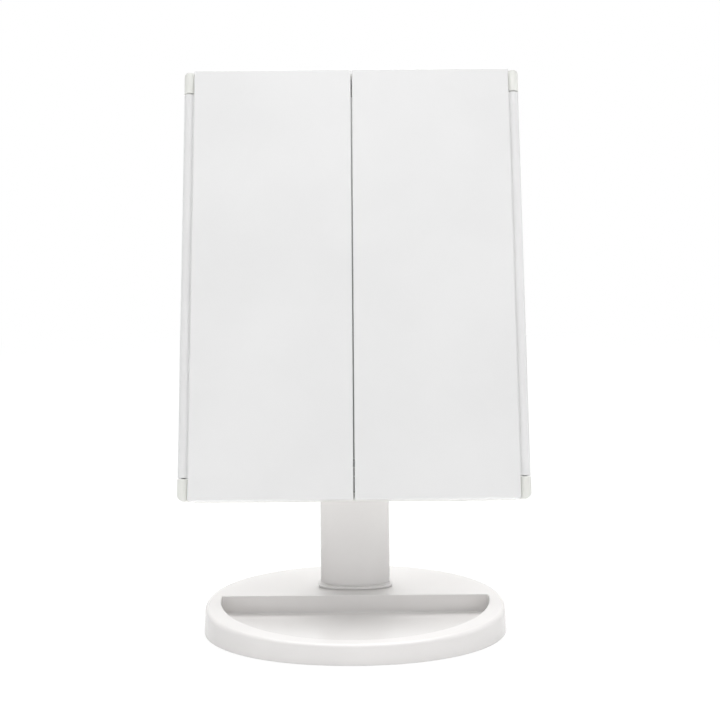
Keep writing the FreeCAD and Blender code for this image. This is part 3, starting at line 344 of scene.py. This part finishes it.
WHITE = (0.800, 0.800, 0.800)
GLOSS_WHITE = (0.806, 0.790, 0.780)
WARM_WHITE = (0.806, 0.790, 0.782)
IVORY = (0.800, 0.806, 0.770)
DOOR_IVORY = (0.800, 0.804, 0.780)
PLATE_GREY = (0.74, 0.74, 0.74)
PRINT_GREY = (0.42, 0.43, 0.44)
NEAR_BLACK = (0.045, 0.045, 0.050)
BLACK = (0.030, 0.030, 0.032)

materials = {
    "cover": moulded_plastic("satin_cover", WHITE, roughness=0.42),
    "wing_frame": moulded_plastic("satin_wing_frame", WHITE, roughness=0.30),
    "base": moulded_plastic("gloss_base", GLOSS_WHITE, roughness=0.20, grain=0.06, wave=0.08,
                            sheen_spread=0.04),
    "post": moulded_plastic("gloss_post", WARM_WHITE, roughness=0.24, grain=0.06, wave=0.08,
                            sheen_spread=0.04),
    "centre": moulded_plastic("ivory_centre", IVORY, roughness=0.30, grain=0.08),
    "housing": eroded_plastic("eroded_housing", IVORY, roughness=0.46),
    "door": eroded_plastic("eroded_door", DOOR_IVORY, roughness=0.46),
    "knob": moulded_plastic("satin_knob", WHITE, roughness=0.35, grain=0.1),
    "plate": eroded_plastic("eroded_plate", PLATE_GREY, roughness=0.62, scale=1300.0, strength=0.8),
    "rubber": foot_rubber(),
    "weight": metal("zinc_weight", (0.42, 0.43, 0.44), roughness=0.48, line_scale=(1.0, 0.08, 1.0)),
    "screw": metal("zinc_screw", (0.66, 0.67, 0.68), roughness=0.30),
    "pin": metal("steel_pin", (0.62, 0.62, 0.63), roughness=0.24, line_scale=(1.0, 1.0, 0.05)),
    "nickel": metal("nickel_plate", (0.74, 0.72, 0.68), roughness=0.16),
    "foil": metal("copper_foil", (0.78, 0.45, 0.28), roughness=0.34),
    "bearing": moulded_plastic("dark_bearing", NEAR_BLACK, roughness=0.38, grain=0.2),
    "black": moulded_plastic("black_plastic", BLACK, roughness=0.42, grain=0.25),
    "centre_mirror": mirror_glass("mirror_centre", FRONT),
    "wing_mirror": mirror_glass("mirror_wing", BACK),
    "foam": foam_tape(),
    "side_light": light_diffuser("frosted_side", "Z", start=0.02825, pitch=0.0245),
    "top_light": light_diffuser("frosted_top", "X", start=-0.0595, pitch=0.017),
    "led_board": circuit_board("white_board", mask=(0.80, 0.81, 0.79), trace=(0.72, 0.73, 0.70)),
    "control_board": circuit_board("green_board", mask=(0.012, 0.085, 0.040), trace=(0.030, 0.150, 0.070)),
    "led": led_package(),
    "cell_up": cell_jacket("cell_nub_up", low=0.0745, high=0.1238),
    "cell_down": cell_jacket("cell_nub_down", low=0.1210, high=0.0717),
    "print": moulded_plastic("grey_print", PRINT_GREY, roughness=0.35, grain=0.1),
}

LOOKS = {
    "base_shell": "base", "base_bottom_plate": "plate", "base_weight": "weight", "post_front_shell": "post",
    "post_rear_shell": "post", "tilt_bush": "bearing", "tilt_axle": "screw", "tilt_axle_nut": "screw",
    "left_wing_cover": "cover", "right_wing_cover": "cover", "left_wing_frame": "wing_frame",
    "right_wing_frame": "wing_frame", "left_wing_pads": "foam", "right_wing_pads": "foam",
    "centre_mirror_tape": "foam", "left_mirror_lower": "wing_mirror", "left_mirror_upper": "wing_mirror",
    "right_mirror": "wing_mirror", "centre_mirror": "centre_mirror", "centre_front_frame": "centre",
    "centre_rear_housing": "housing", "battery_door": "door", "power_switch_knob": "knob",
    "power_switch_body": "black", "control_board": "control_board", "control_board_parts": "black",
    "usb_socket": "nickel", "touch_sensor_pad": "foil", "battery_contacts": "nickel",
    "battery_springs": "nickel", "light_strip_top": "top_light", "light_strip_left": "side_light",
    "light_strip_right": "side_light", "battery_cell_1": "cell_up", "battery_cell_3": "cell_up",
    "battery_cell_2": "cell_down", "battery_cell_4": "cell_down",
}

LOOKS_BY_NAME_PART = {"screws": "screw", "base_foot": "rubber", "washer": "bearing", "hinge_pin": "pin",
                      "led_board": "led_board", "leds_": "led"}


def look_of(node):
    if node in LOOKS:
        return LOOKS[node]
    for part, look in LOOKS_BY_NAME_PART.items():
        if part in node:
            return look
    raise ValueError("no look for " + node)


for name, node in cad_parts.items():
    for slot in node.material_slots:
        slot.material = materials[look_of(name)]


# ---- Printed and moulded marks ----
def head_piece(name, mesh, body, look):
    """A piece built in the head's own frame, put in place and set to ride on its body."""
    mesh.transform(HEAD)
    piece = bpy.data.objects.new(name, mesh)
    bpy.context.scene.collection.objects.link(piece)
    piece.data.materials.append(materials[look])
    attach(piece, body)


def raised_outline(name, loops, face_y, rise, outward):
    """Flat shapes on a face of the head, raised by rise and sunk as deep, so they don't float.

    loops are pairs of rings of (x, z) points, outer and inner, where inner may be None. outward is 1 for a
    face that looks along +Y and -1 for one that looks along -Y.
    """
    bm = bmesh.new()
    base_y = face_y - outward * rise
    top_y = face_y + outward * rise
    for outer, inner in loops:
        rings = [[bm.verts.new((x, y, z)) for x, z in ring]
                 for ring in (outer, inner) if ring for y in (base_y, top_y)]
        count = len(outer)
        for k in range(count):
            n = (k + 1) % count
            bm.faces.new((rings[0][k], rings[0][n], rings[1][n], rings[1][k]))
            if inner:
                bm.faces.new((rings[2][k], rings[3][k], rings[3][n], rings[2][n]))
                bm.faces.new((rings[1][k], rings[1][n], rings[3][n], rings[3][k]))
                bm.faces.new((rings[0][k], rings[2][k], rings[2][n], rings[0][n]))
        if not inner:
            bm.faces.new(rings[1])
            bm.faces.new(list(reversed(rings[0])))
    bmesh.ops.recalc_face_normals(bm, faces=bm.faces)
    mesh = bpy.data.meshes.new(name)
    bm.to_mesh(mesh)
    bm.free()
    return mesh


def circle(x, z, radius, count):
    return [(x + radius * math.cos(2 * math.pi * k / count), z + radius * math.sin(2 * math.pi * k / count))
            for k in range(count)]


def bar(x, z, width, height):
    return [(x - width / 2, z - height / 2), (x + width / 2, z - height / 2), (x + width / 2, z + height / 2),
            (x - width / 2, z + height / 2)]


def touch_mark():
    """The ring and stroke printed over the touch pad."""
    ring = (circle(0, TOUCH_Z, 0.0048, 64), circle(0, TOUCH_Z, 0.0043, 64))
    stroke = (bar(0, TOUCH_Z + 0.0015, width=0.0006, height=0.0036), None)
    return raised_outline("touch_mark", [ring, stroke], GLASS_FACE_Y, rise=0.00003, outward=-1)


def switch_marks():
    """A stroke for on and a ring for off, moulded beside the slide switch."""
    off_x = SWITCH_X - 0.0068
    stroke = (bar(SWITCH_X + 0.0062, SWITCH_Z, width=0.0005, height=0.0024), None)
    ring = (circle(off_x, SWITCH_Z, 0.0013, 32), circle(off_x, SWITCH_Z, 0.0009, 32))
    return raised_outline("switch_marks", [stroke, ring], HOUSING_BACK_Y, rise=0.00015, outward=1)


def door_arrow():
    """The arrow moulded above the battery door's grip, which points the way the door slides."""
    half_width = 0.004
    tip_z = DOOR_ARROW_Z + 0.005
    arrow = ([(-half_width, DOOR_ARROW_Z), (half_width, DOOR_ARROW_Z), (0.0, tip_z)], None)
    return raised_outline("door_arrow", [arrow], DOOR_BACK_Y, rise=0.0002, outward=1)


head_piece("touch_mark", touch_mark(), "mirror_head", "print")
head_piece("switch_marks", switch_marks(), "mirror_head", "housing")
head_piece("door_arrow", door_arrow(), "battery_door", "door")


# ---- Floor ----
FLOOR_HALF_SIZE = 6.0
FLOOR_SHADOW = 0.20          # how strongly lamps and shadows show on the floor near the mirror
FLOOR_LIFT = 0.815           # the white that the floor gives by itself there
NEAR = 0.3                   # distance from the mirror at which the floor starts to change
MIDDLE = 1.5                 # distance at which it is plain white, and darkest in reflections
# Painted shade: reflections show the floor darker out to MIDDLE, standing for floor that lies beyond the
# lamps' light, then white again towards the edge.
MIDDLE_REFLECTION = 0.52     # how bright reflections show it there


def make_floor():
    """Paper that shows as white with the mirror's shadow, and lights the mirror as plain matt paper does."""
    bm = bmesh.new()
    bmesh.ops.create_grid(bm, x_segments=1, y_segments=1, size=FLOOR_HALF_SIZE)
    mesh = bpy.data.meshes.new("floor")
    bm.to_mesh(mesh)
    bm.free()
    floor = bpy.data.objects.new("floor", mesh)
    bpy.context.scene.collection.objects.link(floor)
    material, tree, shader = new_material("paper_floor")
    tree.nodes.remove(shader)
    place = object_place(tree)
    grain = noise(tree, place, 30.0, 3.0)
    paper = ramp(tree, grain, [(0.3, (0.925, 0.925, 0.925)), (0.7, (0.935, 0.935, 0.935))])
    light_path = add(tree, "LightPath")
    is_glossy = light_path.outputs["Is Glossy Ray"]
    seen = math_node(tree, "MAXIMUM", light_path.outputs["Is Camera Ray"], is_glossy)
    matt = add(tree, "BsdfDiffuse", {"Color": paper})
    distance = add(tree, "VectorMath", {0: place}, operation="LENGTH").outputs["Value"]
    away = smooth(tree, distance, NEAR, MIDDLE)
    far = smooth(tree, distance, MIDDLE, FLOOR_HALF_SIZE)
    dimmed = add(tree, "BsdfDiffuse", {"Color": spread(tree, away, FLOOR_SHADOW, 0.0)})
    direct = spread(tree, away, FLOOR_LIFT, 1.0)
    # Painted shade in reflections: the floor's brightness falls from FLOOR_LIFT to MIDDLE_REFLECTION, then
    # rises to white far off.
    reflected = math_node(tree, "ADD", spread(tree, away, FLOOR_LIFT, MIDDLE_REFLECTION),
                          spread(tree, far, 0.0, 1.0 - MIDDLE_REFLECTION))
    lift = add(tree, "Emission", {"Strength": mix_value(tree, is_glossy, direct, reflected)})
    shown = add(tree, "AddShader", {0: dimmed.outputs[0], 1: lift.outputs[0]})
    both = add(tree, "MixShader", {0: seen, 1: matt.outputs[0], 2: shown.outputs[0]})
    tree.links.new(both.outputs[0], tree.nodes["Material Output"].inputs["Surface"])
    mesh.materials.append(material)


make_floor()


# ---- Light ----
SKY_STRENGTH = 1.03
DARK_REFLECTION = 0.20       # what reflections show of the dark side of the studio


def area_lamp(name, place, target, size, power, size_y=None, in_reflections=True):
    data = bpy.data.lights.new(name, "AREA")
    data.shape = "RECTANGLE"
    data.size = size
    data.size_y = size_y or size
    data.energy = power
    lamp = bpy.data.objects.new(name, data)
    lamp.location = place
    lamp.rotation_euler = (Vector(target) - Vector(place)).to_track_quat("-Z", "Y").to_euler()
    lamp.visible_glossy = in_reflections
    bpy.context.scene.collection.objects.link(lamp)


def make_world():
    """White studio, dark on the camera's side and dimmer to the left and right."""
    world = bpy.data.worlds.new("studio")
    world.use_nodes = True
    tree = world.node_tree
    background = tree.nodes["Background"]
    direction = add(tree, "TexCoord").outputs["Generated"]
    across, along, height = add(tree, "SeparateXYZ", {"Vector": direction}).outputs
    forward = math_node(tree, "MULTIPLY", smooth(tree, along, 0.0, -0.6), smooth(tree, height, 0.05, 0.30))
    dark = math_node(tree, "MULTIPLY", forward, smooth(tree, height, 1.0, 0.45))
    middle = math_node(tree, "SUBTRACT", 1.0, math_node(tree, "ABSOLUTE", across))
    lit = math_node(tree, "MULTIPLY", middle, spread(tree, dark, SKY_STRENGTH, 0.0))
    reflected = spread(tree, dark, 1.0, DARK_REFLECTION)
    light_path = add(tree, "LightPath")
    mirrored = math_node(tree, "MAXIMUM", light_path.outputs["Is Glossy Ray"],
                         light_path.outputs["Is Transmission Ray"])
    strength = mix_value(tree, mirrored, lit, reflected)
    shown = mix_value(tree, light_path.outputs["Is Camera Ray"], strength, 1.0)
    background.inputs["Color"].default_value = (1.0, 1.0, 1.0, 1.0)
    tree.links.new(shown, background.inputs["Strength"])
    bpy.context.scene.world = world


make_world()
area_lamp("rear_box", (0.0, 0.70, 2.60), (0.0, 0.0, 0.0), size=2.0, power=67.0)
area_lamp("front_box", (0.0, -1.60, 0.25), (0.0, 0.0, 0.10), size=1.4, power=5.4, size_y=0.4,
          in_reflections=False)
area_lamp("near_box", (0.0, -0.30, 0.68), (0.0, 0.0, 0.20), size=0.35, power=0.85, in_reflections=False)
area_lamp("side_box", (1.30, 0.0, 0.80), (0.0, 0.0, 0.10), size=1.0, power=1.7)


# ---- Camera, at the photograph's place ----
CAMERA_PLACE = Vector((0.00459, -0.6759378, 0.22054))
YAW = 0.00154                # radians to the left
PITCH = 0.12008              # radians down
ROLL = -0.0087               # radians anticlockwise
FOCAL_PX = 1318.9            # focal length in the photograph's pixels
PHOTO_WIDTH_PX = 720.0
SENSOR_WIDTH = 36.0


def make_camera():
    forward = Vector((-math.sin(YAW) * math.cos(PITCH), math.cos(YAW) * math.cos(PITCH), -math.sin(PITCH)))
    right = Vector((math.cos(YAW), math.sin(YAW), 0.0))
    up = right.cross(forward)
    right_rolled = math.cos(ROLL) * right + math.sin(ROLL) * up
    up_rolled = -math.sin(ROLL) * right + math.cos(ROLL) * up
    data = bpy.data.cameras.new("camera")
    data.sensor_fit = "HORIZONTAL"
    data.sensor_width = SENSOR_WIDTH
    data.lens = FOCAL_PX * SENSOR_WIDTH / PHOTO_WIDTH_PX
    camera = bpy.data.objects.new("camera", data)
    turn = Matrix((right_rolled, up_rolled, -forward)).transposed().to_4x4()
    camera.matrix_world = Matrix.Translation(CAMERA_PLACE) @ turn
    bpy.context.scene.collection.objects.link(camera)
    bpy.context.scene.camera = camera


make_camera()
bpy.context.scene.view_settings.view_transform = "Standard"
